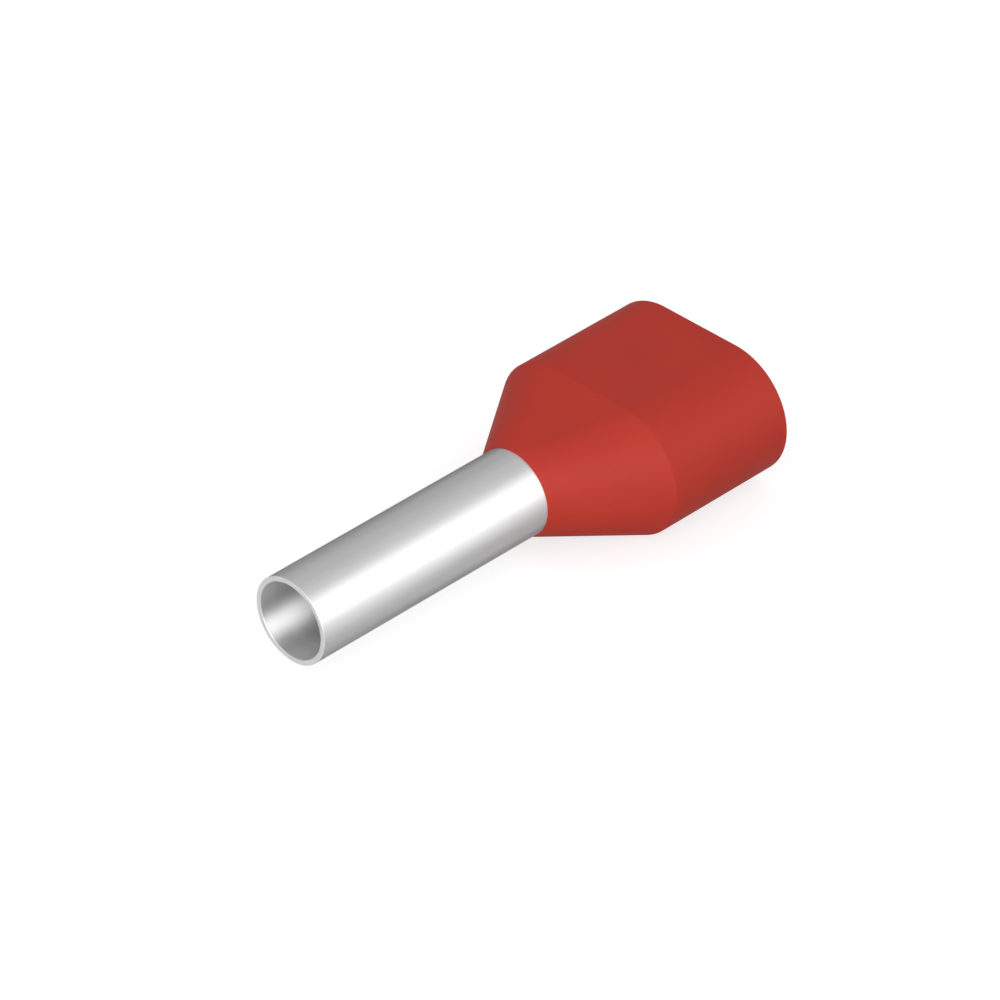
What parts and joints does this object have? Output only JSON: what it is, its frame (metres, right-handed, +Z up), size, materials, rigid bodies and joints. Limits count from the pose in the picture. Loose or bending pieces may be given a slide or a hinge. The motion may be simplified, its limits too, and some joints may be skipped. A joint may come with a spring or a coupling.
{
  "type": "wire ferrule",
  "caption": "Insulated wire-end ferrule: a thin tinned sleeve to crimp on the bared ends of paired wires, in a collar that widens to a flat open mouth for their insulation.",
  "frame": {"origin": "centre of the bore at the sleeve's free end", "axes": "+X along the bore from the sleeve's free end to the collar's open mouth, +Y across the collar's width, +Z up across its flat sides"},
  "size_m": [0.015, 0.0064, 0.0038],
  "materials": {
    "tinned_copper": "bright tin plating on copper",
    "red_polypropylene": "moulded, satin"
  },
  "bodies": {
    "root": {"contact_sleeve": "tinned_copper", "insulating_collar": "red_polypropylene"}
  },
  "joints": []
}
